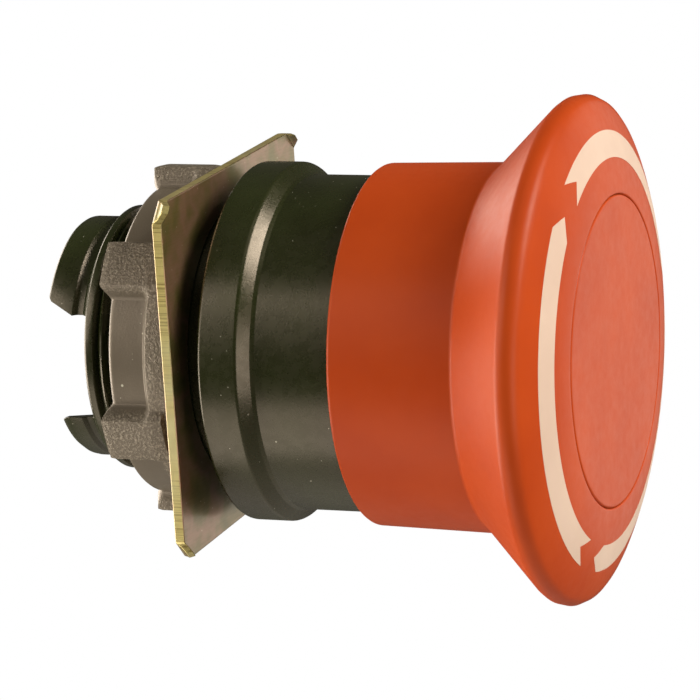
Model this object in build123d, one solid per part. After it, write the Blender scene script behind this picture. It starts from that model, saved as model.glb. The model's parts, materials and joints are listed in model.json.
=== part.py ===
from build123d import *
import math
import os

# Emergency stop push-button operator for a 22 mm panel hole: 40 mm mushroom head, push to lock,
# turn clockwise to release. Everything is built along a local axis, with z pointing forward out of
# the panel, y up, and z = 0 on the flange's rear face; save() turns that axis onto -Y.

# Driving dimensions, mm
HEAD_R = 20.0
FLANGE_R = 14.4
BODY_R = 13.4
BARREL_R = 11.0
TRAVEL = 5.5
RUNNING = 0.05  # radial clearance of running fits
GAP = 0.3  # clearance between pieces that move past each other

# Flanged housing
FLANGE_T = 3.2
BAND_Z = 4.2  # where the sloping band under the skirt meets the body
BODY_TOP_Z = 16.0
CAVITY_R = 11.4
CAVITY_Z = 9.5
BORE_R = 8.6
WEB_TOP_Z = -3.5
WEB_BOTTOM_Z = -5.0
COLLAR_Z = -2.2
BARREL_END_Z = -11.2
BARREL_END_R = 10.7
THREAD_PITCH = 1.5
THREAD_CREST_R = 10.9
THREAD_ROOT_R = 10.1
THREAD_TURNS = 5
THREAD_TOP_Z = -2.4
CLAW_END_Z = -15.0
CLAW_R = 9.75
SOCKET_R = 8.2
CLAW_GAP_Y = (-4.85, 3.6)  # heights between the lower claw and the upper one
KEYWAY_W = 3.0
KEYWAY_TOP_Z = -0.8
GROOVE_R = 12.4
GROOVE_Z = (13.6, 15.0)
GASKET_R = (12.0, 13.6)
GASKET_DEPTH = 0.6
GASKET_PROUD = 0.2

# Mushroom head
SKIRT_R = 14.4
SKIRT_TOP_R = 14.6
SKIRT_REAR_Z = 10.6
SKIRT_BORE_R = 13.7
DOME_R = 19.5
DOME_CENTRE = (10.84, 9.98)
RIM_ROUND = 1.1
COVER_R = 12.2
COVER_SEAT_Z = 28.2
COVER_RISE = 0.12
ARROW_R = (15.1, 17.2)
ARROW_COUNT = 3
ARROW_GAP = 8.0  # degrees from one arrow's tip to the next one's tail
ARROW_PHASE = 5.0  # degrees round the axis from +X to the middle of the first gap
ARROW_POINT = 6.0  # degrees that the tip reaches ahead of its shoulders
ARROW_DEPTH = 0.4
ARROW_PROUD = 0.02
HUB_R = 5.6
HUB_Z = 20.2
HUB_BORE_R = 3.66
POCKET_R = 5.0
POCKET_Z = 26.2
CEILING_Z = 25.0

# Stem and the parts on it
STEM_R = 3.2
STEM_END_Z = -8.2
NECK_R = 4.8
SHOULDER_R = 6.0
SHOULDER_Z = 20.0
CONE_Z = (12.0, 12.0 + TRAVEL)
SPIGOT_R = HUB_BORE_R - RUNNING
SPIGOT_Z = 25.3
NOSE_R = 1.9
NOSE_Z = 26.3
SEAT_R = 7.4
SEAT_Z = (8.3, 9.3)
EAR_R = 9.2
EAR_W = 1.8
CLIP_Z = (-6.1, -5.5)
CLIP_GROOVE_R = 2.6
CLIP_R = 4.8
PUSHER_R = 5.5
PUSHER_Z = (-9.2, -6.8)
SCREW_R = 1.5
SCREW_HEAD_R = 3.0
SCREW_HEAD_T = 1.2
SCREW_END_Z = 17.0
WASHER_R = 3.8
WASHER_T = 0.3

# Latch: two sprung pins in a guide ring
GUIDE_R = 6.4
GUIDE_Z = (CAVITY_Z, 14.5)
PIN_Z = CONE_Z[0]
PIN_R = 1.5
PIN_TIP_R = 5.0
PIN_TAIL_R = 8.0
POCKET_CLEAR = 0.06
LATCH_WIRE_R = 0.16
LATCH_COIL_R = 1.1
LATCH_COILS = 5

# Springs
RETURN_COIL_R = 6.9
RETURN_WIRE_R = 0.45
RETURN_COILS = 4.5
TWIST_COIL_R = 6.6
TWIST_WIRE_R = 0.3
TWIST_COILS = 3
TWIST_Z = (22.2, 24.4)
CAM_R = (7.6, 9.6)
CAM_Z = 21.8

# Square thrust plate
PLATE_SIDE = 28.6
PLATE_T = 0.8
PLATE_FRONT_Z = -2.05
PLATE_TURN = 2.0  # degrees that the loose plate is turned round the barrel
PLATE_BORE_R = 11.15
PLATE_CHAMFER = 0.5
TOOTH_LEG = 1.7  # length of each side that is folded at a corner
TOOTH_FOLD = 50.0  # degrees
TAB_W = 1.8
TAB_R = 10.3

# Ring nut
NUT_FRONT_Z = -3.1
NUT_REAR_Z = -8.3
NUT_R = 12.5
NUT_FLANGE_R = 13.4
NUT_FLANGE_T = 1.6
NUT_BORE_R = 11.15
LUG_COUNT = 6
LUG_TIP_R = 14.05
LUG_W = 4.8
LUG_Z = (-8.8, -3.6)
LUG_PHASE = 23.0  # degrees round the axis from +X to the first lug
LUG_ROUND = 0.5

EDGE = 0.3  # small edge breaks


def turned(points):
    """A solid of revolution about z from (radius, z) corners."""
    return revolve(make_face(Plane.XZ * Polyline(*points, close=True)), Axis.Z)


def ring(inner, outer, low, high):
    """A plain ring, or a disc when inner is 0."""
    return turned([(inner, low), (outer, low), (outer, high), (inner, high)])


def chamfered_ring(inner, outer, low, high, edge):
    """A ring whose two outer corners are broken."""
    return turned(
        [
            (inner, low),
            (outer - edge, low),
            (outer, low + edge),
            (outer, high - edge),
            (outer - edge, high),
            (inner, high),
        ]
    )


def wedge(radius, centre_angle, spread, low, high):
    """A pie slice round z."""
    half = math.radians(spread / 2)
    middle = math.radians(centre_angle)
    corners = [(0, 0)]
    for angle in (middle - half, middle, middle + half):
        corners.append((radius * math.cos(angle), radius * math.sin(angle)))
    slice_face = make_face(Polyline(*corners, close=True))
    return Pos(0, 0, low) * extrude(slice_face, high - low)


def coil(radius, wire, turns, low, high):
    """A round-wire compression spring between two z levels."""
    rise = high - low - 2 * wire
    path = Helix(pitch=rise / turns, height=rise, radius=radius)
    section = Plane(path @ 0, z_dir=path % 0) * Circle(wire)
    return Pos(0, 0, low + wire) * sweep(section, path=path, is_frenet=True)


def polar(radius, degrees):
    """A point in the plane across the axis."""
    return radius * math.cos(math.radians(degrees)), radius * math.sin(math.radians(degrees))


def dome_z(radius):
    """Height of the head's front dome at a radius."""
    return DOME_CENTRE[1] + math.sqrt(DOME_R**2 - (radius - DOME_CENTRE[0]) ** 2)


def bezel_housing():
    """Flange, body, threaded barrel and bayonet claws, moulded in one piece."""
    outline = [
        (SOCKET_R, BARREL_END_Z),
        (BARREL_END_R - EDGE, BARREL_END_Z),
        (BARREL_END_R, BARREL_END_Z + EDGE),
        (BARREL_END_R, THREAD_TOP_Z - THREAD_TURNS * THREAD_PITCH - EDGE),
    ]
    first_z = THREAD_TOP_Z - THREAD_TURNS * THREAD_PITCH
    for turn in range(THREAD_TURNS):
        root_z = first_z + turn * THREAD_PITCH
        outline.append((THREAD_ROOT_R, root_z))
        outline.append((THREAD_CREST_R, root_z + 0.4 * THREAD_PITCH))
        outline.append((THREAD_CREST_R, root_z + 0.6 * THREAD_PITCH))
    outline += [
        (THREAD_ROOT_R, THREAD_TOP_Z),
        (BARREL_R, COLLAR_Z),
        (BARREL_R, 0),
        (FLANGE_R - EDGE, 0),
        (FLANGE_R, EDGE),
        (FLANGE_R, FLANGE_T),
        (BODY_R + 0.15, BAND_Z - 0.15),
        (BODY_R, BAND_Z + 0.1),
        (BODY_R, GROOVE_Z[0]),
        (GROOVE_R, GROOVE_Z[0]),
        (GROOVE_R, GROOVE_Z[1]),
        (BODY_R, GROOVE_Z[1]),
        (BODY_R, BODY_TOP_Z - EDGE),
        (BODY_R - EDGE, BODY_TOP_Z),
        (CAVITY_R, BODY_TOP_Z),
        (CAVITY_R, CAVITY_Z),
        (BORE_R, CAVITY_Z),
        (BORE_R, WEB_TOP_Z),
        (STEM_R + 1.2, WEB_TOP_Z),
        (STEM_R + 1.2, WEB_BOTTOM_Z),
        (SOCKET_R, WEB_BOTTOM_Z),
    ]
    housing = turned(outline)
    claws = turned(
        [
            (SOCKET_R, CLAW_END_Z),
            (CLAW_R - 2 * EDGE, CLAW_END_Z),
            (CLAW_R, CLAW_END_Z + 2 * EDGE),
            (CLAW_R, BARREL_END_Z + 2 * EDGE),
            (SOCKET_R, BARREL_END_Z + 2 * EDGE),
        ]
    )
    gap_low, gap_high = CLAW_GAP_Y
    gap = Box(3 * CLAW_R, gap_high - gap_low, BARREL_END_Z - CLAW_END_Z)
    claws -= Pos(0, (gap_high + gap_low) / 2, (BARREL_END_Z + CLAW_END_Z) / 2) * gap
    housing += claws
    housing -= ring(GASKET_R[0], GASKET_R[1], 0, GASKET_DEPTH)
    keyway_floor = THREAD_ROOT_R - 0.1
    keyway = Box(KEYWAY_W, BARREL_R, KEYWAY_TOP_Z - BARREL_END_Z)
    housing -= Pos(0, keyway_floor + BARREL_R / 2, (KEYWAY_TOP_Z + BARREL_END_Z) / 2) * keyway
    slot = Box(EAR_W + GAP, 2 * (EAR_R + GAP), CAVITY_Z - WEB_TOP_Z)
    housing -= Pos(0, 0, (CAVITY_Z + WEB_TOP_Z) / 2) * slot
    return housing


def latch_guide_ring():
    """Ring that carries the latch pins and stops the plunger's spring seat."""
    guide = ring(GUIDE_R, CAVITY_R, *GUIDE_Z)
    bore = Pos(0, 0, PIN_Z) * Rot(0, 90, 0) * Cylinder(PIN_R + POCKET_CLEAR, 4 * CAVITY_R)
    return guide - bore


def latch_pin(side):
    """Pin with a ball nose that rides on the stem's cone."""
    length = PIN_TAIL_R - PIN_TIP_R - PIN_R
    shank = Pos(PIN_TAIL_R - length / 2, 0, PIN_Z) * Rot(0, 90, 0) * Cylinder(PIN_R, length)
    nose = Pos(PIN_TIP_R + PIN_R, 0, PIN_Z) * Sphere(PIN_R)
    return Rot(0, 0, 90 - 90 * side) * (shank + nose)


def latch_spring(side):
    """Small spring behind a latch pin."""
    spring = coil(LATCH_COIL_R, LATCH_WIRE_R, LATCH_COILS, PIN_TAIL_R, CAVITY_R)
    return Pos(0, 0, PIN_Z) * Rot(0, 90 * side, 0) * spring


def front_guide_bush():
    """Bush over the guide ring that steadies the stem's shoulder."""
    return ring(SHOULDER_R + RUNNING, CAVITY_R, GUIDE_Z[1], BODY_TOP_Z)


def rear_guide_bush():
    """Bush in the housing's web round the stem."""
    return ring(STEM_R + RUNNING, STEM_R + 1.2, WEB_BOTTOM_Z, WEB_TOP_Z)


def wiper_seal():
    """Lip seal that wipes the inside of the skirt."""
    low, high = GROOVE_Z
    lip_r = SKIRT_BORE_R - RUNNING
    middle = (low + high) / 2
    return turned([(GROOVE_R, low), (BODY_R, low), (lip_r, middle), (BODY_R, high), (GROOVE_R, high)])


def panel_gasket():
    """Ring gasket in the flange's rear face."""
    return ring(GASKET_R[0], GASKET_R[1], -GASKET_PROUD, GASKET_DEPTH)


def head_cap():
    """Mushroom head: skirt, flare, dome, hub and the recess for the centre cover."""
    corner_r = HEAD_R + 0.64 * RIM_ROUND
    corner = (corner_r, dome_z(corner_r))
    flare_foot = (SKIRT_TOP_R, corner[1] - (corner_r - SKIRT_TOP_R))
    recess_r = COVER_R + 0.12
    inside = Polyline(
        (recess_r, dome_z(recess_r)),
        (recess_r, COVER_SEAT_Z),
        (POCKET_R, COVER_SEAT_Z),
        (POCKET_R, POCKET_Z),
        (NOSE_R + 0.1, POCKET_Z),
        (NOSE_R + 0.1, SPIGOT_Z + 0.1),
        (HUB_BORE_R, SPIGOT_Z + 0.1),
        (HUB_BORE_R, HUB_Z),
        (HUB_R, HUB_Z),
        (HUB_R, CEILING_Z),
        (16.4, CEILING_Z),
        (16.4, 24.2),
        (SKIRT_BORE_R, 21.0),
        (SKIRT_BORE_R, SKIRT_REAR_Z),
        (SKIRT_R - EDGE / 2, SKIRT_REAR_Z),
        (SKIRT_R, SKIRT_REAR_Z + EDGE / 2),
        flare_foot,
        corner,
    )
    middle_r = (recess_r + corner_r) / 2
    dome = ThreePointArc(corner, (middle_r, dome_z(middle_r)), (recess_r, dome_z(recess_r)))
    section = make_face(inside.edges() + dome.edges())
    section = fillet(section.vertices().sort_by(Axis.X)[-1], RIM_ROUND)
    section = fillet(section.vertices().sort_by_distance((*flare_foot, 0))[0], 2 * EDGE)
    cap = revolve(Plane.XZ * section, Axis.Z)
    return cap - arrow_band(ARROW_PROUD)


def arrow_band(proud):
    """The three arrows as slices of a thin shell that follows the dome."""
    inner, outer = ARROW_R
    middle = (inner + outer) / 2
    top = [(r, dome_z(r) + proud) for r in (inner, middle, outer)]
    bottom = [(r, dome_z(r) - ARROW_DEPTH) for r in (outer, middle, inner)]
    outline = [
        ThreePointArc(*top),
        Line(top[-1], bottom[0]),
        ThreePointArc(*bottom),
        Line(bottom[-1], top[0]),
    ]
    shell = revolve(make_face(Plane.XZ * Curve(children=outline)), Axis.Z)
    pitch = 360 / ARROW_COUNT
    arrows = []
    for index in range(ARROW_COUNT):
        tip = ARROW_PHASE + index * pitch + ARROW_GAP / 2
        tail = tip + pitch - ARROW_GAP
        shoulder = tip + ARROW_POINT
        notch = tail - ARROW_POINT
        centre = (shoulder + tail) / 2
        wide = outer + 1
        narrow = inner - 1
        first = shoulder + ARROW_POINT
        last = tail + ARROW_POINT
        edges = [
            Line(polar(middle, tip), polar(wide, first)),
            ThreePointArc(polar(wide, first), polar(wide, centre), polar(wide, last)),
            Line(polar(wide, last), polar(middle, notch)),
            Line(polar(middle, notch), polar(narrow, last)),
            ThreePointArc(polar(narrow, last), polar(narrow, centre), polar(narrow, first)),
            Line(polar(narrow, first), polar(middle, tip)),
        ]
        blade = Pos(0, 0, CEILING_Z) * extrude(make_face(Curve(children=edges)), HEAD_R)
        arrows.append(shell & blade)
    return arrows


def release_ring():
    """Ring in the head that carries the turning motion."""
    return ring(CAM_R[0], CAM_R[1], CAM_Z, CEILING_Z)


def centre_cover():
    """Flat disc that closes the recess over the head's screw."""
    edge_z = dome_z(COVER_R)
    rim = [(0, COVER_SEAT_Z), (COVER_R, COVER_SEAT_Z), (COVER_R, edge_z - EDGE), (COVER_R - EDGE, edge_z)]
    crown_r = ((COVER_R - EDGE) ** 2 + COVER_RISE**2) / (2 * COVER_RISE)
    half_r = COVER_R / 2
    half_z = edge_z + COVER_RISE - crown_r + math.sqrt(crown_r**2 - half_r**2)
    crown = ThreePointArc(rim[-1], (half_r, half_z), (0, edge_z + COVER_RISE))
    closing = Line((0, edge_z + COVER_RISE), rim[0])
    section = make_face(Polyline(*rim).edges() + crown.edges() + closing.edges())
    return revolve(Plane.XZ * section, Axis.Z)


def stem():
    """Plunger shaft with the latch cone and the spigot for the head."""
    groove_low, groove_high = CLIP_Z
    shaft = turned(
        [
            (0, STEM_END_Z),
            (STEM_R, STEM_END_Z),
            (STEM_R, groove_low),
            (CLIP_GROOVE_R, groove_low),
            (CLIP_GROOVE_R, groove_high),
            (STEM_R, groove_high),
            (STEM_R, SEAT_Z[1]),
            (NECK_R, SEAT_Z[1]),
            (NECK_R, CONE_Z[0]),
            (SHOULDER_R, CONE_Z[1]),
            (SHOULDER_R, SHOULDER_Z),
            (SPIGOT_R, SHOULDER_Z),
            (SPIGOT_R, SPIGOT_Z),
            (NOSE_R, SPIGOT_Z),
            (NOSE_R, NOSE_Z),
            (0, NOSE_Z),
        ]
    )
    return shaft - ring(0, SCREW_R, SCREW_END_Z, NOSE_Z)


def spring_seat():
    """Washer under the neck with two ears that stop it turning."""
    seat = ring(STEM_R, SEAT_R, *SEAT_Z)
    ears = Box(EAR_W, 2 * EAR_R, SEAT_Z[1] - SEAT_Z[0])
    ears -= Cylinder(SEAT_R - EDGE, SEAT_Z[1])
    return seat + Pos(0, 0, sum(SEAT_Z) / 2) * ears


def retaining_clip():
    """Open spring clip in the stem's groove."""
    return ring(CLIP_GROOVE_R, CLIP_R, *CLIP_Z) - wedge(2 * CLIP_R, -90, 60, CLIP_Z[0], CLIP_Z[1])


def rear_pusher():
    """Cap on the stem's end that pushes the contact block."""
    cap = chamfered_ring(0, PUSHER_R, *PUSHER_Z, EDGE)
    return cap - ring(0, STEM_R, STEM_END_Z, PUSHER_Z[1])


def head_washer():
    """Washer that keeps the head on its spigot."""
    return ring(SCREW_R, WASHER_R, NOSE_Z, NOSE_Z + WASHER_T)


def head_screw():
    """Pan-head screw with a cross recess."""
    base = NOSE_Z + WASHER_T
    top = base + SCREW_HEAD_T
    screw = chamfered_ring(0, SCREW_HEAD_R, base, top, EDGE) + ring(0, SCREW_R, SCREW_END_Z, base)
    for turn in (0, 90):
        screw -= Pos(0, 0, top) * Rot(0, 0, turn) * Box(1.3 * SCREW_HEAD_R, 0.7, SCREW_HEAD_T)
    return screw


def thrust_plate():
    """Pressed plate with folded corners and a tab in the barrel's keyway."""
    half = PLATE_SIDE / 2
    outline = chamfer(Rectangle(PLATE_SIDE, PLATE_SIDE).vertices(), PLATE_CHAMFER)
    fold_r = math.sqrt(2) * (half - TOOTH_LEG / 2)
    kept = Rot(0, 0, 45) * Rectangle(2 * fold_r, 2 * fold_r)
    plate = Pos(0, 0, -PLATE_T) * extrude(outline & kept, PLATE_T)
    plate -= Cylinder(PLATE_BORE_R, 4 * PLATE_T)
    tab_length = PLATE_BORE_R - TAB_R + EDGE
    plate += Pos(0, TAB_R + tab_length / 2, -PLATE_T / 2) * Box(TAB_W, tab_length, PLATE_T)
    tooth_length = math.sqrt(2) * (half - PLATE_CHAMFER / 2) - fold_r
    root, tip = math.sqrt(2) * TOOTH_LEG, math.sqrt(2) * PLATE_CHAMFER
    base = -PLATE_T / 2
    corners = [(base, root / 2), (tooth_length, tip / 2), (tooth_length, -tip / 2), (base, -root / 2)]
    blade = make_face(Polyline(*corners, close=True))
    tooth = Rot(0, -TOOTH_FOLD, 0) * Pos(0, 0, -PLATE_T) * extrude(blade, PLATE_T)
    for corner in range(4):
        plate += Rot(0, 0, 45 + 90 * corner) * Pos(fold_r - PLATE_T / 2, 0, 0) * tooth
    return Pos(0, 0, PLATE_FRONT_Z) * Rot(0, 0, PLATE_TURN) * plate


def ring_nut():
    """Round nut with six grip lugs."""
    slope_z = NUT_FRONT_Z - NUT_FLANGE_T
    nut = turned(
        [
            (NUT_BORE_R, NUT_REAR_Z),
            (NUT_R - EDGE, NUT_REAR_Z),
            (NUT_R, NUT_REAR_Z + EDGE),
            (NUT_R, slope_z - 0.6),
            (NUT_FLANGE_R, slope_z),
            (NUT_FLANGE_R, NUT_FRONT_Z - EDGE),
            (NUT_FLANGE_R - EDGE, NUT_FRONT_Z),
            (NUT_BORE_R, NUT_FRONT_Z),
        ]
    )
    depth = LUG_TIP_R - NUT_BORE_R - EDGE
    lug = Box(depth, LUG_W, LUG_Z[1] - LUG_Z[0])
    lug = fillet(lug.edges().filter_by(Axis.Z).sort_by(Axis.X)[2:], LUG_ROUND)
    for index in range(LUG_COUNT):
        turn = Rot(0, 0, LUG_PHASE + index * 360 / LUG_COUNT)
        nut += turn * Pos(LUG_TIP_R - depth / 2, 0, sum(LUG_Z) / 2) * lug
    return nut


def save(name, solids):
    """Turn the local axis so that the head faces -Y, and write one STEP."""
    pieces = solids if isinstance(solids, list) else [solids]
    turned_pieces = [Rot(90, 0, 0) * piece for piece in pieces]
    shape = turned_pieces[0] if len(turned_pieces) == 1 else Compound(children=turned_pieces)
    export_step(shape, f"parts/{name}.step")


def main():
    os.makedirs("parts", exist_ok=True)
    save("bezel_housing", bezel_housing())
    save("latch_guide_ring", latch_guide_ring())
    save("front_guide_bush", front_guide_bush())
    save("rear_guide_bush", rear_guide_bush())
    save("wiper_seal", wiper_seal())
    save("panel_gasket", panel_gasket())
    save("return_spring", coil(RETURN_COIL_R, RETURN_WIRE_R, RETURN_COILS, WEB_TOP_Z, SEAT_Z[0]))
    save("latch_pin_right", latch_pin(1))
    save("latch_pin_left", latch_pin(-1))
    save("latch_spring_right", latch_spring(1))
    save("latch_spring_left", latch_spring(-1))
    save("head_cap", head_cap())
    save("arrow_inlays", arrow_band(ARROW_PROUD))
    save("centre_cover", centre_cover())
    save("release_ring", release_ring())
    save("torsion_spring", coil(TWIST_COIL_R, TWIST_WIRE_R, TWIST_COILS, *TWIST_Z))
    save("stem", stem())
    save("spring_seat", spring_seat())
    save("retaining_clip", retaining_clip())
    save("rear_pusher", rear_pusher())
    save("head_washer", head_washer())
    save("head_screw", head_screw())
    save("thrust_plate", thrust_plate())
    save("ring_nut", ring_nut())


main()
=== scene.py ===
import json
import math

import bmesh
import bpy
from mathutils import Euler, Matrix, Vector


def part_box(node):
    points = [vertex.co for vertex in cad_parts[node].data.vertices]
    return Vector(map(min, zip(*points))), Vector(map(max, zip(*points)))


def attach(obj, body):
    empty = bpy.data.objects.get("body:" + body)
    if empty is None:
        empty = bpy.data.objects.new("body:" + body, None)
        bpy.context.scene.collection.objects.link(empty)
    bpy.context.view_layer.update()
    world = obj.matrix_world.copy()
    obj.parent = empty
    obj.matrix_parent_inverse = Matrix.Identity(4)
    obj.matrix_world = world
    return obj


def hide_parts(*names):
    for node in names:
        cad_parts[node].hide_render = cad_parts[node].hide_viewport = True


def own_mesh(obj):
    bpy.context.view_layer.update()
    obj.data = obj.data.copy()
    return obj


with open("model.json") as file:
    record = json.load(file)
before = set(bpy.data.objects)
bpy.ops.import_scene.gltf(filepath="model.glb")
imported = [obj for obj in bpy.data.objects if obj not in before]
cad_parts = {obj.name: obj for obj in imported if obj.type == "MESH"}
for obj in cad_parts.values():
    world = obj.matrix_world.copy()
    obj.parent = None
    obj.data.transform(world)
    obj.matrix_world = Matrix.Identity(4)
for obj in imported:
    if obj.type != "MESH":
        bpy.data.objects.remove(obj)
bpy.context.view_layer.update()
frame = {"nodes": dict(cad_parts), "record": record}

# The button's axis lies along Y and its head faces -Y. Pieces are drawn in millimetres as (radius,
# forward) outlines, where forward is the distance in front of the panel's seat, and stored in metres.
MM = 0.001
STEPS_ROUND = 4
BODY_STEPS = 256
FINE_STEPS = 720

# Camera: the angles of the view, and where the panel seat's centre is, right, up and ahead of it
VIEW_AZIMUTH = -69.23
VIEW_ELEVATION = 12.5
VIEW_ROLL = 2.825
LENS_MM = 195.75
SENSOR_MM = 36.0
SEAT_IN_VIEW = (-6.829, 0.794, 306.15)

# Features that the frame's boxes don't give, in millimetres and degrees
SOCKET_R = 8.2
CLAW_R = 9.75
BARREL_R = 11.0
BARREL_END = -11.2
BARREL_END_R = 10.7
BODY_R = 13.4
SKIRT_TOP_R = 14.6
THREAD_ROOT_R = 10.15
THREAD_DEPTH = 0.75
THREAD_PITCH = 1.5
THREAD_SPAN = (-10.2, -2.5)
KEYWAY_R = 10.0
KEYWAY_HALF_ANGLE = 8.0
NUT_BORE_R = 11.15
NUT_R = 12.5
NUT_FLANGE_R = 13.4
LUG_COUNT = 6
LUG_PHASE = 23.0
LUG_TIP_R = 14.05
LUG_HALF_WIDTH = 2.35
LUG_FRONT = -3.7
LUG_OVERHANG = 0.5
PLATE_SIDE = 28.6
PLATE_T = 0.8
PLATE_TURN = 2.0
PLATE_HOLE_R = 11.15
PLATE_TAB_R = 10.3
FOLD_LEG = 1.7
FOLD_ANGLE = 50.0
FOLD_ROUND = 0.4
ARROW_COUNT = 3
ARROW_GAP = 8.0
ARROW_PHASE = 5.0
ARROW_POINT = 6.0

# Inside of the head, in millimetres
SKIRT_BORE_R = 13.7
SKIRT_REAR_R = 14.4
SCREW_WELL_R = 5.0
SCREW_WELL_FLOOR = 26.2
SCREW_HOLE_R = 2.0
HUB_BORE_R = 3.66
HUB_BORE_FRONT = 25.4
HUB_R = 5.6
HUB_REAR = 20.2
HEAD_ROOF = 25.0
HEAD_ROOF_R = 16.4

# Housing: grooves, shoulders and bores, in millimetres
GASKET_GROOVE_R = (12.0, 13.6)
GASKET_GROOVE_DEPTH = 0.5
FLANGE_FRONT = 3.2
SEAL_GROOVE = (13.6, 15.0)
SEAL_GROOVE_R = 12.4
FRONT_BORE_R = 11.4
FRONT_BORE_REAR = 9.5
SPRING_BORE_R = 8.6
SPRING_BORE_REAR = -3.5
STEM_BORE_R = 4.4
SOCKET_FLOOR = -5.0

# Name, turn in degrees, height of the level cut, rear rounding and cut of the rear corners of each claw
CLAWS = (
    ("claw_upper", 0, 3.6, 0.35, 1.3),
    ("claw_lower", 180, 4.85, 1.3, 0.5),
)

# The studio: the floor's height in metres, and the one tint that all of the light shares
FLOOR_BELOW = -1.2
WARM = (1.0, 0.90, 0.79)


def node_span(node):
    """Largest radius, rear and front of a CAD node, in millimetres."""
    low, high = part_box(node)
    return high.x / MM, -high.y / MM, -low.y / MM


def fillet_outline(outline):
    """Replaces each (radius, forward, rounding) corner with an arc."""
    points = []
    count = len(outline)
    for index, corner in enumerate(outline):
        here = Vector(corner[:2])
        if len(corner) < 3:
            points.append(here)
            continue
        back = (Vector(outline[index - 1][:2]) - here).normalized()
        ahead = (Vector(outline[(index + 1) % count][:2]) - here).normalized()
        half = back.angle(ahead) / 2
        reach = corner[2] / math.tan(half)
        centre = here + (back + ahead).normalized() * corner[2] / math.sin(half)
        start = here + back * reach - centre
        end = here + ahead * reach - centre
        for step in range(STEPS_ROUND + 1):
            blend = start.lerp(end, step / STEPS_ROUND).normalized()
            points.append(centre + blend * corner[2])
    return points


def arc_points(centre, radius, from_r, to_r, steps):
    """Points on the upper part of a circle between two radii of the lathe."""
    points = []
    for step in range(steps + 1):
        r = from_r + (to_r - from_r) * step / steps
        points.append((r, centre[1] + math.sqrt(radius**2 - (r - centre[0]) ** 2)))
    return points


def on_lathe(radius, forward, degrees):
    """The place, in metres, of a point that is turned round the axis."""
    angle = math.radians(degrees)
    return (radius * math.cos(angle) * MM, -forward * MM, radius * math.sin(angle) * MM)


def finish_mesh(name, mesh, sharp_degrees=35):
    """Links a mesh as an object with smooth, weighted normals."""
    mesh.update()
    mesh.validate()
    for polygon in mesh.polygons:
        polygon.use_smooth = True
    mesh.set_sharp_from_angle(angle=math.radians(sharp_degrees))
    piece = bpy.data.objects.new(name, mesh)
    bpy.context.scene.collection.objects.link(piece)
    weighted = piece.modifiers.new("weighted_normals", "WEIGHTED_NORMAL")
    weighted.keep_sharp = True
    return piece


def lathe(name, outline, steps=BODY_STEPS, shape=None, start=0.0, sweep=360.0):
    """Turns a closed outline round the axis. shape moves a point by its angle."""
    profile = fillet_outline(outline)
    full = sweep >= 360
    rings = steps if full else steps + 1
    on_axis = [point[0] < 1e-6 for point in profile]
    builder = bmesh.new()
    poles = [builder.verts.new((0, -p[1] * MM, 0)) if pole else None for p, pole in zip(profile, on_axis)]
    grid = []
    for step in range(rings):
        degrees = start + sweep * step / steps
        column = []
        for point, pole in zip(profile, poles):
            if pole:
                column.append(pole)
                continue
            r, forward, turned_to = shape(*point, degrees) if shape else (*point, degrees)
            column.append(builder.verts.new(on_lathe(r, forward, turned_to)))
        grid.append(column)
    count = len(profile)
    for step in range(steps):
        near = grid[step]
        far = grid[(step + 1) % rings]
        for index in range(count):
            following = (index + 1) % count
            corners = [near[index], near[following], far[following], far[index]]
            unique = list(dict.fromkeys(corners))
            if len(unique) > 2:
                builder.faces.new(unique)
    if not full:
        builder.faces.new(grid[0])
        builder.faces.new(list(reversed(grid[-1])))
    bmesh.ops.recalc_face_normals(builder, faces=builder.faces)
    mesh = bpy.data.meshes.new(name)
    builder.to_mesh(mesh)
    builder.free()
    return finish_mesh(name, mesh)


def join(name, pieces):
    """One object from several, keeping the first one's modifiers."""
    with bpy.context.temp_override(active_object=pieces[0], selected_editable_objects=pieces):
        bpy.ops.object.join()
    pieces[0].name = name
    return pieces[0]


def round_edges(piece, width_mm, segments, degrees):
    """Bevels every edge sharper than an angle, and makes the result the piece's own mesh."""
    bevel = piece.modifiers.new("edge_break", "BEVEL")
    bevel.width = width_mm * MM
    bevel.segments = segments
    bevel.limit_method = "ANGLE"
    bevel.angle_limit = math.radians(degrees)
    piece.modifiers.move(piece.modifiers.find(bevel.name), 0)
    bpy.context.view_layer.update()
    evaluated = piece.evaluated_get(bpy.context.evaluated_depsgraph_get())
    piece.modifiers.remove(bevel)
    old = piece.data
    piece.data = bpy.data.meshes.new_from_object(evaluated)
    bpy.data.meshes.remove(old)


def smooth_step(value, low, high):
    """0 below low, 1 above high, and a smooth ramp between."""
    t = min(max((value - low) / (high - low), 0.0), 1.0)
    return t * t * (3 - 2 * t)


# ---------------------------------------------------------------- materials


DUST = (0.55, 0.55, 0.45)
SOCKETS = {
    "roughness": "Roughness",
    "metallic": "Metallic",
    "gloss": "Specular IOR Level",
    "gloss_tint": "Specular Tint",
    "lacquer": "Coat Weight",
    "lacquer_roughness": "Coat Roughness",
}


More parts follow.
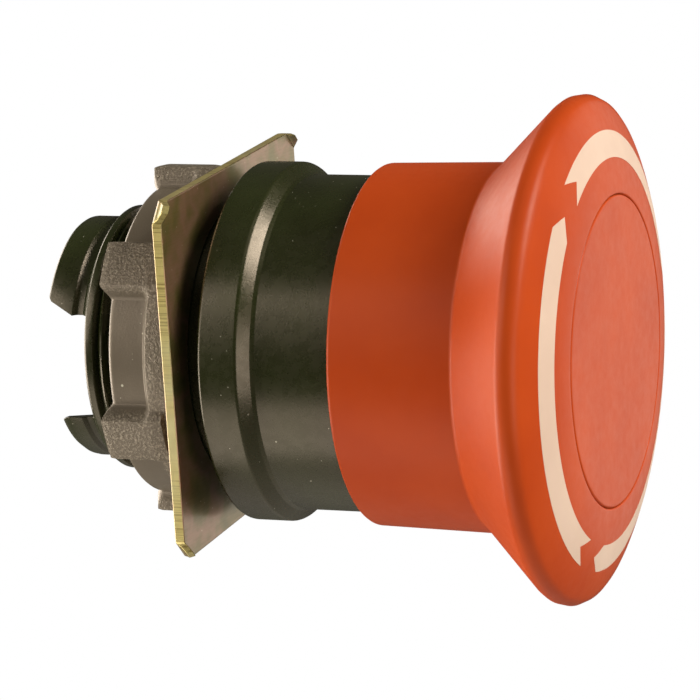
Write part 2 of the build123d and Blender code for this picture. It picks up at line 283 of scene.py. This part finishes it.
class Shader:
    """A node material with object coordinates in millimetres at hand."""

    def __init__(self, name):
        self.slot = name
        self.material = bpy.data.materials.new(name)
        self.material.use_nodes = True
        self.nodes = self.material.node_tree.nodes
        self.links = self.material.node_tree.links
        self.surface = self.nodes["Principled BSDF"]
        coordinates = self.nodes.new("ShaderNodeTexCoord")
        scale = self.nodes.new("ShaderNodeVectorMath")
        scale.operation = "SCALE"
        scale.inputs["Scale"].default_value = 1 / MM
        self.links.new(coordinates.outputs["Object"], scale.inputs[0])
        self.place = scale.outputs[0]
        self.bump = None

    def stretched(self, x, y, z):
        """The coordinates scaled by a different amount each way."""
        node = self.nodes.new("ShaderNodeVectorMath")
        node.operation = "MULTIPLY"
        node.inputs[1].default_value = (x, y, z)
        self.links.new(self.place, node.inputs[0])
        return node.outputs[0]

    def noise(self, per_mm, detail=3.0, roughness=0.5, place=None):
        node = self.nodes.new("ShaderNodeTexNoise")
        node.inputs["Scale"].default_value = per_mm
        node.inputs["Detail"].default_value = detail
        node.inputs["Roughness"].default_value = roughness
        self.links.new(place or self.place, node.inputs["Vector"])
        return node.outputs["Fac"]

    def specks(self, per_mm, size):
        """Small round dots, 1 in a dot and 0 elsewhere."""
        node = self.nodes.new("ShaderNodeTexVoronoi")
        node.inputs["Scale"].default_value = per_mm
        self.links.new(self.place, node.inputs["Vector"])
        dots = self.ramp(node.outputs["Distance"], [(0.0, 1), (size, 1), (size * 1.5, 0)])
        chosen = self.ramp(node.outputs["Color"], [(0.0, 0), (0.62, 0), (0.7, 1)])
        return self.math("MULTIPLY", dots, chosen)

    def math(self, operation, a, b):
        node = self.nodes.new("ShaderNodeMath")
        node.operation = operation
        for socket, value in zip(node.inputs, (a, b)):
            if isinstance(value, (int, float)):
                socket.default_value = value
            else:
                self.links.new(value, socket)
        return node.outputs[0]

    def ramp(self, factor, stops):
        """stops are (position, grey) or (position, (r, g, b))."""
        node = self.nodes.new("ShaderNodeValToRGB")
        elements = node.color_ramp.elements
        while len(elements) < len(stops):
            elements.new(0.5)
        for element, (position, colour) in zip(elements, stops):
            element.position = position
            shade = colour if isinstance(colour, tuple) else (colour, colour, colour)
            element.color = (*shade, 1)
        self.links.new(factor, node.inputs[0])
        return node.outputs[0]

    def mix(self, factor, a, b):
        node = self.nodes.new("ShaderNodeMix")
        node.data_type = "RGBA"
        self.links.new(factor, node.inputs["Factor"])
        for socket, value in ((node.inputs[6], a), (node.inputs[7], b)):
            if isinstance(value, tuple):
                socket.default_value = (*value, 1)
            else:
                self.links.new(value, socket)
        return node.outputs[2]

    def add_bump(self, height, distance_mm, strength):
        """Adds relief to what is there already."""
        node = self.nodes.new("ShaderNodeBump")
        node.inputs["Distance"].default_value = distance_mm * MM
        node.inputs["Strength"].default_value = strength
        self.links.new(height, node.inputs["Height"])
        if self.bump:
            self.links.new(self.bump, node.inputs["Normal"])
        self.bump = node.outputs["Normal"]
        self.links.new(self.bump, self.surface.inputs["Normal"])

    def colour(self, socket):
        self.links.new(socket, self.surface.inputs["Base Color"])

    def roughness(self, socket):
        self.links.new(socket, self.surface.inputs["Roughness"])

    def level(self, **values):
        """Sets shader sockets that are the same all over."""
        for key, value in values.items():
            self.surface.inputs[SOCKETS[key]].default_value = value


def moulded_plastic(name, dark, light, rough, gloss=0.5, grain_mm=0.012, dusty=False):
    """Moulded plastic: slow colour drift, fine eroded grain, faint flow marks and optional dust."""
    shader = Shader(name)
    drift = shader.ramp(shader.noise(0.12, 4.0), [(0.3, dark), (0.7, light)])
    if dusty:
        for per_mm, size in ((0.55, 0.045), (1.6, 0.05)):
            drift = shader.mix(shader.specks(per_mm, size), drift, DUST)
    shader.colour(drift)
    wear = shader.noise(1.1, 5.0, 0.65)
    shader.roughness(shader.ramp(wear, [(0.3, rough - 0.05), (0.7, rough + 0.06)]))
    shader.add_bump(shader.noise(6.0, 3.0, 0.6), grain_mm, 0.6)
    shader.add_bump(shader.noise(0.35, 2.0), grain_mm, 0.4)
    shader.level(gloss=gloss)
    return shader


def pitted_lugs_painted_glints(shader):
    """Coarse erosion pits on the nut's lugs, beyond the radius of its body: relief, and painted glints as a
    lighter colour in the pits.
    """
    across = shader.nodes.new("ShaderNodeVectorMath")
    across.operation = "LENGTH"
    shader.links.new(shader.stretched(1.0, 0.0, 1.0), across.inputs[0])
    on_lug = shader.ramp(shader.math("DIVIDE", across.outputs["Value"], 20.0), [(0.640, 0), (0.672, 1)])
    pits = shader.noise(4.5, 2.0, 0.7)
    # painted glints: a lighter colour on the lugs where the pit noise is high, standing in for highlights
    painted_glint = shader.ramp(pits, [(0.50, 0), (0.66, 1)])
    base = shader.surface.inputs["Base Color"].links[0].from_socket
    shader.colour(shader.mix(shader.math("MULTIPLY", painted_glint, on_lug), base, (0.30, 0.27, 0.21)))
    shader.add_bump(shader.math("MULTIPLY", pits, on_lug), 0.11, 0.9)


def zinc_chromate():
    """Yellow passivated zinc: olive to straw film with rainbow drift, and bright sheared edges."""
    shader = Shader("zinc_yellow")
    film = shader.noise(0.16, 3.0, 0.55)
    straw, olive = (0.20, 0.165, 0.055), (0.10, 0.105, 0.030)
    rose, green = (0.32, 0.20, 0.12), (0.10, 0.145, 0.040)
    face = shader.ramp(film, [(0.30, green), (0.42, straw), (0.52, rose), (0.60, straw), (0.72, olive)])
    face = shader.mix(shader.specks(1.3, 0.06), face, (0.60, 0.54, 0.38))
    geometry = shader.nodes.new("ShaderNodeNewGeometry")
    split = shader.nodes.new("ShaderNodeSeparateXYZ")
    shader.links.new(geometry.outputs["Normal"], split.inputs[0])
    facing = shader.math("ABSOLUTE", split.outputs["Y"], 0)
    edge_mask = shader.ramp(facing, [(0.15, 1), (0.55, 0)])
    shear = shader.noise(1.0, 2.0, 0.5, shader.stretched(7.5, 0.06, 7.5))
    worn = shader.ramp(shader.noise(0.09, 2.0), [(0.42, 0), (0.6, 1)])
    lined = shader.ramp(shear, [(0.36, (0.42, 0.33, 0.10)), (0.5, (0.80, 0.70, 0.27))])
    smooth = shader.ramp(film, [(0.35, (0.90, 0.74, 0.30)), (0.65, (0.84, 0.82, 0.46))])
    edge = shader.mix(worn, lined, smooth)
    shader.colour(shader.mix(edge_mask, face, edge))
    scratch = shader.noise(1.0, 4.0, 0.7, shader.stretched(0.5, 1.0, 7.0))
    shader.roughness(shader.ramp(scratch, [(0.3, 0.28), (0.7, 0.46)]))
    shader.level(metallic=0.7, lacquer=0.6, lacquer_roughness=0.18)
    shader.add_bump(scratch, 0.006, 0.4)
    shader.add_bump(shear, 0.012, 0.3)
    return shader


def steel(name, tint, rough):
    """Drawn or turned steel with fine lines round it."""
    shader = Shader(name)
    lines = shader.noise(1.0, 4.0, 0.7, shader.stretched(0.6, 9.0, 0.6))
    dark = tuple(channel * 0.8 for channel in tint)
    shader.colour(shader.ramp(lines, [(0.3, dark), (0.7, tint)]))
    shader.roughness(shader.ramp(lines, [(0.3, rough - 0.06), (0.7, rough + 0.1)]))
    shader.level(metallic=1.0)
    shader.add_bump(lines, 0.006, 0.5)
    return shader


def make_materials():
    """One material for each slot of the record."""
    body_dark, body_light = (0.012, 0.0160, 0.003), (0.023, 0.0320, 0.008)
    nut_dark, nut_light = (0.105, 0.091, 0.067), (0.165, 0.143, 0.108)
    body = moulded_plastic("black_plastic", body_dark, body_light, 0.27, 0.72, 0.014, True)
    nut = moulded_plastic("nut_plastic", nut_dark, nut_light, 0.36, 0.8, 0.03, True)
    pitted_lugs_painted_glints(nut)
    for shader in (body, nut):
        shader.level(gloss_tint=(1.0, 0.88, 0.74, 1.0))
    made = [
        body,
        nut,
        moulded_plastic("red_plastic", (0.47, 0.056, 0.007), (0.54, 0.072, 0.010), 0.38, 0.17, 0.006),
        moulded_plastic("cream_plastic", (0.68, 0.52, 0.42), (0.76, 0.60, 0.49), 0.50),
        moulded_plastic("pom_natural", (0.66, 0.64, 0.56), (0.74, 0.72, 0.66), 0.42),
        moulded_plastic("grey_plastic", (0.055, 0.056, 0.055), (0.080, 0.081, 0.080), 0.45),
        moulded_plastic("seal_rubber", (0.010, 0.010, 0.010), (0.018, 0.018, 0.018), 0.70),
        steel("spring_steel", (0.52, 0.52, 0.54), 0.30),
        steel("pin_steel", (0.62, 0.61, 0.60), 0.25),
        zinc_chromate(),
    ]
    return {shader.slot: shader.material for shader in made}


def dress(piece, slot, body, *nodes):
    """Gives a piece its material, its body and the CAD nodes that it stands for."""
    piece.data.materials.clear()
    piece.data.materials.append(MATERIALS[slot])
    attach(piece, body)
    if nodes:
        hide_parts(*nodes)
    return piece


# ---------------------------------------------------------------- pieces

DOME_CENTRE = (10.84, 9.98)
DOME_R = 19.5


def dome(radius):
    """How far forward the head's dome is at a radius."""
    return DOME_CENTRE[1] + math.sqrt(DOME_R**2 - (radius - DOME_CENTRE[0]) ** 2)


def head_cap():
    """Mushroom head with its skirt, flare, rounded rim and the recess for the cover."""
    head_r, rear, _ = node_span("head_cap")
    cover_r, cover_rear, _ = node_span("centre_cover")
    corner_r = head_r + 0.72
    corner = (corner_r, dome(corner_r))
    foot = (SKIRT_TOP_R, corner[1] - (corner_r - SKIRT_TOP_R))
    recess_r = cover_r + 0.05
    outline = [
        (SKIRT_BORE_R, rear, 0.1),
        (SKIRT_REAR_R, rear, 0.3),
        (*foot, 0.5),
        (*corner, 1.1),
        *arc_points(DOME_CENTRE, DOME_R, 19.0, recess_r + 0.4, 12),
        (recess_r, dome(recess_r), 0.16),
        (recess_r, cover_rear),
        (SCREW_WELL_R, cover_rear),
        (SCREW_WELL_R, SCREW_WELL_FLOOR),
        (SCREW_HOLE_R, SCREW_WELL_FLOOR),
        (SCREW_HOLE_R, HUB_BORE_FRONT),
        (HUB_BORE_R, HUB_BORE_FRONT),
        (HUB_BORE_R, HUB_REAR),
        (HUB_R, HUB_REAR),
        (HUB_R, HEAD_ROOF),
        (HEAD_ROOF_R, HEAD_ROOF),
        (HEAD_ROOF_R, 24.2),
        (SKIRT_BORE_R, 21.0),
    ]
    dress(lathe("mushroom_head", outline), "red_plastic", "head", "head_cap")


def centre_cover():
    """Disc in the middle of the face with a bevelled edge."""
    cover_r, rear, front = node_span("centre_cover")
    edge = dome(cover_r)
    outline = [(0.0, rear), (cover_r, rear), (cover_r, edge, 0.18), (cover_r - 0.5, edge + 0.01)]
    for share in (0.75, 0.5, 0.25, 0.0):
        outline.append((cover_r * share, edge + (front - edge) * (1 - share**2)))
    dress(lathe("face_disc", outline), "red_plastic", "head", "centre_cover")


def arrow_inlays():
    """Three curved arrows that follow the dome, each with a point and a forked tail."""
    inner, outer = 15.1, 17.2
    middle = (inner + outer) / 2
    half = (outer - inner) / 2
    across = 6
    along = 90
    proud, depth = 0.015, 0.38
    pitch = 360 / ARROW_COUNT
    builder = bmesh.new()
    for index in range(ARROW_COUNT):
        tip = ARROW_PHASE + index * pitch + ARROW_GAP / 2
        tail = tip + pitch - ARROW_GAP
        layers = []
        for offset in (proud, -depth):
            rows = []
            for step in range(along + 1):
                row = []
                for lane in range(across + 1):
                    radius = inner + (outer - inner) * lane / across
                    slant = ARROW_POINT * abs(radius - middle) / half
                    first = tip + slant
                    last = tail - ARROW_POINT + slant
                    degrees = first + (last - first) * step / along
                    row.append(builder.verts.new(on_lathe(radius, dome(radius) + offset, degrees)))
                rows.append(row)
            layers.append(rows)
        top, under = layers
        for step in range(along):
            for lane in range(across):
                for rows in layers:
                    near, far = rows[step], rows[step + 1]
                    builder.faces.new((near[lane], near[lane + 1], far[lane + 1], far[lane]))
            for lane in (0, across):
                side = (top[step][lane], top[step + 1][lane], under[step + 1][lane], under[step][lane])
                builder.faces.new(side)
        for lane in range(across):
            for step in (0, along):
                end = (top[step][lane], top[step][lane + 1], under[step][lane + 1], under[step][lane])
                builder.faces.new(end)
    bmesh.ops.recalc_face_normals(builder, faces=builder.faces)
    mesh = bpy.data.meshes.new("release_arrows")
    builder.to_mesh(mesh)
    builder.free()
    dress(finish_mesh("release_arrows", mesh), "cream_plastic", "head", "arrow_inlays")


def threaded_barrel(r, forward, degrees):
    """Cuts the helical thread and its keyway into the barrel's stretch of the housing."""
    low, high = THREAD_SPAN
    if r < THREAD_ROOT_R - 0.1 or forward > high or forward < low:
        return r, forward, degrees
    turns = forward / THREAD_PITCH - degrees / 360
    ridge = smooth_step(abs((turns % 1) * 2 - 1), 0.25, 0.75)
    fade = smooth_step(forward, low, low + 0.6) * (1 - smooth_step(forward, high - 0.5, high))
    in_keyway = abs((degrees + 90) % 360 - 180) < KEYWAY_HALF_ANGLE
    cut = KEYWAY_R if in_keyway else THREAD_ROOT_R + THREAD_DEPTH * ridge * fade
    return cut, forward, degrees


def claw(name, outline, height, tip_cut):
    """One bayonet claw: a half tube above a level cut. Its rear corners lean in by tip_cut."""
    rear = min(point[1] for point in outline)
    steps = 96

    def levelled(r, forward, degrees):
        lean = tip_cut * (1 - smooth_step(forward, rear, rear + 1.1))
        first = math.degrees(math.asin((height + lean) / r))
        return r, forward, first + (180 - 2 * first) * degrees / 180

    return lathe(name, outline, steps, levelled, 0, 180)


def bezel_housing():
    """Flange, body and threaded barrel, with the two bayonet claws behind."""
    flange_r, rear, _ = node_span("bezel_housing")
    _, _, top = node_span("front_guide_bush")
    low, high = THREAD_SPAN
    groove_in, groove_out = GASKET_GROOVE_R
    seal_rear, seal_front = SEAL_GROOVE
    rows = 60
    outline = [
        (SOCKET_R, BARREL_END, 0.1),
        (BARREL_END_R, BARREL_END, 0.3),
        (BARREL_END_R, low - 0.25, 0.1),
        *[(THREAD_ROOT_R, low + (high - low) * step / rows) for step in range(rows + 1)],
        (BARREL_R, high + 0.3),
        (BARREL_R, 0.0),
        (groove_in, 0.0),
        (groove_in, GASKET_GROOVE_DEPTH),
        (groove_out, GASKET_GROOVE_DEPTH),
        (groove_out, 0.0),
        (flange_r, 0.0, 0.3),
        (flange_r, FLANGE_FRONT, 0.45),
        (13.55, 4.05, 0.08),
        (BODY_R, 4.35, 0.1),
        (BODY_R, seal_rear),
        (SEAL_GROOVE_R, seal_rear),
        (SEAL_GROOVE_R, seal_front),
        (BODY_R, seal_front),
        (BODY_R, top, 0.3),
        (FRONT_BORE_R, top),
        (FRONT_BORE_R, FRONT_BORE_REAR),
        (SPRING_BORE_R, FRONT_BORE_REAR),
        (SPRING_BORE_R, SPRING_BORE_REAR),
        (STEM_BORE_R, SPRING_BORE_REAR),
        (STEM_BORE_R, SOCKET_FLOOR),
        (SOCKET_R, SOCKET_FLOOR),
    ]
    pieces = [lathe("flanged_housing", outline, FINE_STEPS // 2, threaded_barrel)]
    for name, turn, height, rounding, tip_cut in CLAWS:
        section = [
            (SOCKET_R, rear, 0.2),
            (CLAW_R, rear, rounding),
            (CLAW_R, -12.7, 0.12),
            (CLAW_R - 0.3, -12.4, 0.12),
            (CLAW_R - 0.3, -11.9, 0.12),
            (CLAW_R, -11.6, 0.12),
            (CLAW_R, BARREL_END + 0.6),
            (SOCKET_R, BARREL_END + 0.6),
        ]
        half_tube = claw(name, section, height, tip_cut)
        half_tube.data.transform(Matrix.Rotation(math.radians(turn), 4, "Y"))
        round_edges(half_tube, 0.18, 3, 60)
        pieces.append(half_tube)
    housing = join("flanged_housing", pieces)
    dress(housing, "black_plastic", "housing", "bezel_housing")


def ring_nut():
    """Round nut whose six lugs swell smoothly out of its body."""
    _, rear, front = node_span("ring_nut")
    body_rear = rear + LUG_OVERHANG

    def lugged(r, forward, degrees):
        if r < NUT_R - 0.5 or forward > LUG_FRONT + 0.25:
            return r, forward, degrees
        offset = (degrees - LUG_PHASE) % (360 / LUG_COUNT)
        across = math.radians(min(offset, 360 / LUG_COUNT - offset)) * LUG_TIP_R
        swell = 1 - smooth_step(across, LUG_HALF_WIDTH - 0.55, LUG_HALF_WIDTH + 0.35)
        reach = swell * smooth_step(LUG_FRONT + 0.25 - forward, 0.0, 0.35)
        reach *= smooth_step(r, NUT_R - 0.5, NUT_R - 0.2)
        rearward = swell * smooth_step(body_rear + 0.9 - forward, 0.0, 0.9)
        shift = LUG_OVERHANG * (1 - smooth_step(r, NUT_R - 0.3, NUT_R))
        return r + (LUG_TIP_R - r) * reach, forward - shift * rearward, degrees

    outline = [
        (NUT_BORE_R, body_rear, 0.2),
        (NUT_R - 0.6, body_rear),
        (NUT_R - 0.4, body_rear),
        (NUT_R, body_rear, 0.35),
        *[(NUT_R, body_rear + 0.5 + step * 0.25) for step in range(9)],
        (NUT_R, -5.3, 0.1),
        (13.0, -5.0),
        (NUT_FLANGE_R, -4.75, 0.1),
        (NUT_FLANGE_R, LUG_FRONT),
        (NUT_FLANGE_R, LUG_FRONT + 0.2),
        (NUT_FLANGE_R, front, 0.2),
        (NUT_BORE_R, front, 0.2),
    ]
    dress(lathe("ring_nut_lugged", outline, FINE_STEPS, lugged), "nut_plastic", "nut", "ring_nut")


def plate_outline():
    """The flat blank: a square with its corners trimmed, and the hole with its key tab."""
    half = PLATE_SIDE / 2
    cut = half - 0.5
    corners = []
    for turn in range(4):
        for x, z in ((half, cut), (cut, half)):
            corners.append(rotated(x, z, 90 * turn))
    hole = []
    steps = BODY_STEPS // 2
    for step in range(steps):
        degrees = 360 * step / steps
        in_tab = abs(degrees - 90) < 5.0
        hole.append(rotated(PLATE_TAB_R if in_tab else PLATE_HOLE_R, 0, degrees))
    return corners, hole


def rotated(x, z, degrees):
    """A point across the axis turned round it."""
    turn = math.radians(degrees)
    return (x * math.cos(turn) - z * math.sin(turn), x * math.sin(turn) + z * math.cos(turn))


def fold_corner(vertex, fold_line):
    """Bends a corner of the plate forward round a small radius."""
    level = -vertex.co.y
    diagonal = Vector((math.copysign(1, vertex.co.x), 0, math.copysign(1, vertex.co.z))).normalized()
    beyond = vertex.co.dot(diagonal) - fold_line
    if beyond <= 0:
        return
    fold = math.radians(FOLD_ANGLE)
    bend = min(beyond / FOLD_ROUND, fold)
    straight = max(beyond - FOLD_ROUND * fold, 0)
    lever = FOLD_ROUND + PLATE_T - level
    reach = lever * math.sin(bend) * FOLD_ROUND / (FOLD_ROUND + PLATE_T) + straight * math.cos(bend)
    rise = level + lever * (1 - math.cos(bend)) + straight * math.sin(bend)
    vertex.co += diagonal * (reach - beyond)
    vertex.co.y = -rise


def thrust_plate():
    """Square pressed plate whose corners are folded towards the panel."""
    _, back, _ = node_span("thrust_plate")
    builder = bmesh.new()
    for loop in plate_outline():
        vertices = [builder.verts.new((x, 0, z)) for x, z in loop]
        for index, vertex in enumerate(vertices):
            builder.edges.new((vertex, vertices[(index + 1) % len(vertices)]))
    bmesh.ops.triangle_fill(builder, use_beauty=True, use_dissolve=False, edges=builder.edges[:])
    fold_line = (PLATE_SIDE - FOLD_LEG) / math.sqrt(2)
    fold_steps = 6
    for corner in range(4):
        x, z = rotated(1, 0, 45 + 90 * corner)
        for step in range(fold_steps + 1):
            reach = fold_line + FOLD_ROUND * math.radians(FOLD_ANGLE) * step / fold_steps
            everything = builder.verts[:] + builder.edges[:] + builder.faces[:]
            seam = Vector((x, 0, z)) * reach
            bmesh.ops.bisect_plane(builder, geom=everything, plane_co=seam, plane_no=(x, 0, z))
    extruded = bmesh.ops.extrude_face_region(builder, geom=builder.faces[:])
    for item in extruded["geom"]:
        if isinstance(item, bmesh.types.BMVert):
            item.co.y = -PLATE_T
    for vertex in builder.verts:
        fold_corner(vertex, fold_line)
    place = Matrix.Translation((0, -back, 0)) @ Matrix.Rotation(-math.radians(PLATE_TURN), 4, "Y")
    bmesh.ops.transform(builder, matrix=Matrix.Scale(MM, 4) @ place, verts=builder.verts)
    bmesh.ops.recalc_face_normals(builder, faces=builder.faces)
    mesh = bpy.data.meshes.new("square_plate")
    builder.to_mesh(mesh)
    builder.free()
    piece = finish_mesh("square_plate", mesh)
    round_edges(piece, 0.06, 2, 50)
    dress(piece, "zinc_yellow", "plate", "thrust_plate")


def squashing_spring(node, body):
    """A copy of a CAD spring, with its material, on its body."""
    source = frame["nodes"][node]
    mesh = source.data.copy()
    piece = finish_mesh(node + "_coils", mesh, 60)
    dress(piece, "spring_steel", body, node)
    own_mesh(piece)


def springs():
    """The three springs that shorten under a joint."""
    squashing_spring("return_spring", "housing")
    for side, node in ((1, "latch_spring_right"), (-1, "latch_spring_left")):
        squashing_spring(node, "housing")


def dress_cad_nodes():
    """Every CAD node gets the material of its slot."""
    for entry in frame["record"]["subparts"]:
        node = frame["nodes"][entry["node"]]
        node.data.materials.clear()
        node.data.materials.append(MATERIALS[entry["material_slot"]])


# ---------------------------------------------------------------- stage


def seen_white(nodes, links, lit, white, output):
    """Sends a white shader to what is seen directly, and the lit one to everything else."""
    path = nodes.new("ShaderNodeLightPath")
    choose = nodes.new("ShaderNodeMixShader")
    links.new(path.outputs["Is Camera Ray"], choose.inputs[0])
    links.new(lit, choose.inputs[1])
    links.new(white.outputs[0], choose.inputs[2])
    links.new(choose.outputs[0], output.inputs["Surface"])


def floor():
    """A pale floor well below the button."""
    builder = bmesh.new()
    bmesh.ops.create_grid(builder, x_segments=2, y_segments=2, size=6.0)
    mesh = bpy.data.meshes.new("floor")
    builder.to_mesh(mesh)
    builder.free()
    plane = bpy.data.objects.new("floor", mesh)
    plane.location.z = FLOOR_BELOW
    bpy.context.scene.collection.objects.link(plane)
    shader = Shader("pale_floor")
    shader.colour(shader.ramp(shader.noise(0.02), [(0.3, 0.90), (0.7, 0.93)]))
    shader.level(roughness=0.9)
    white = shader.nodes.new("ShaderNodeEmission")
    seen_white(shader.nodes, shader.links, shader.surface.outputs[0], white, shader.nodes["Material Output"])
    plane.data.materials.append(shader.material)


def area_light(name, azimuth, elevation, distance, size, power):
    """A warm, square, soft light that faces the button."""
    light = bpy.data.lights.new(name, "AREA")
    light.size = size
    light.energy = power
    light.color = WARM
    lamp = bpy.data.objects.new(name, light)
    a, e = math.radians(azimuth), math.radians(elevation)
    lamp.location = Vector((math.sin(a) * math.cos(e), -math.cos(a) * math.cos(e), math.sin(e))) * distance
    lamp.rotation_euler = lamp.location.to_track_quat("Z", "Y").to_euler()
    lamp.visible_camera = False
    bpy.context.scene.collection.objects.link(lamp)


def lights():
    """Eight soft lights, tuned to the photo's view, and a dim warm surround that the camera sees as white."""
    area_light("key_front", 8, 36, 0.9, 0.45, 8.6)
    area_light("front_low", -28, -4, 0.9, 0.5, 2.6)
    area_light("front_right", 64, -6, 0.9, 0.6, 1.15)
    area_light("rear_left", -138, 24, 0.9, 0.6, 3.6)
    area_light("rear_soft", -168, -14, 0.9, 0.6, 8.0)
    area_light("low_card", -118, -45, 0.55, 0.36, 0.72)
    area_light("top_soft", -60, 75, 0.9, 0.6, 0.6)
    area_light("far_card", 158, 4, 0.9, 0.7, 8.5)
    world = bpy.data.worlds.new("studio")
    world.use_nodes = True
    bpy.context.scene.world = world
    nodes, links = world.node_tree.nodes, world.node_tree.links
    surround = nodes["Background"]
    surround.inputs["Color"].default_value = (*WARM, 1)
    surround.inputs["Strength"].default_value = 0.07
    white = nodes.new("ShaderNodeBackground")
    white.inputs["Color"].default_value = (1, 1, 1, 1)
    seen_white(nodes, links, surround.outputs[0], white, nodes["World Output"])


def camera():
    """Long lens at the button's left, a little above it."""
    a, e = math.radians(VIEW_AZIMUTH), math.radians(VIEW_ELEVATION)
    back = Vector((math.sin(a) * math.cos(e), -math.cos(a) * math.cos(e), math.sin(e)))
    right = Vector((math.cos(a), math.sin(a), 0))
    up = back.cross(right)
    level = Matrix((right, up, back)).transposed()
    turned = level @ Euler((0, 0, math.radians(-VIEW_ROLL))).to_matrix()
    seat_right, seat_up, seat_ahead = SEAT_IN_VIEW
    seat = Vector((seat_right, seat_up, -seat_ahead)) * MM
    data = bpy.data.cameras.new("camera")
    data.lens = LENS_MM
    data.sensor_width = SENSOR_MM
    data.clip_start = 0.01
    view = bpy.data.objects.new("camera", data)
    view.matrix_world = Matrix.Translation(-(turned @ seat)) @ turned.to_4x4()
    bpy.context.scene.collection.objects.link(view)
    bpy.context.scene.camera = view


camera()
lights()
floor()
bpy.context.scene.view_settings.view_transform = "Standard"
MATERIALS = make_materials()
dress_cad_nodes()
head_cap()
centre_cover()
arrow_inlays()
bezel_housing()
ring_nut()
thrust_plate()
springs()
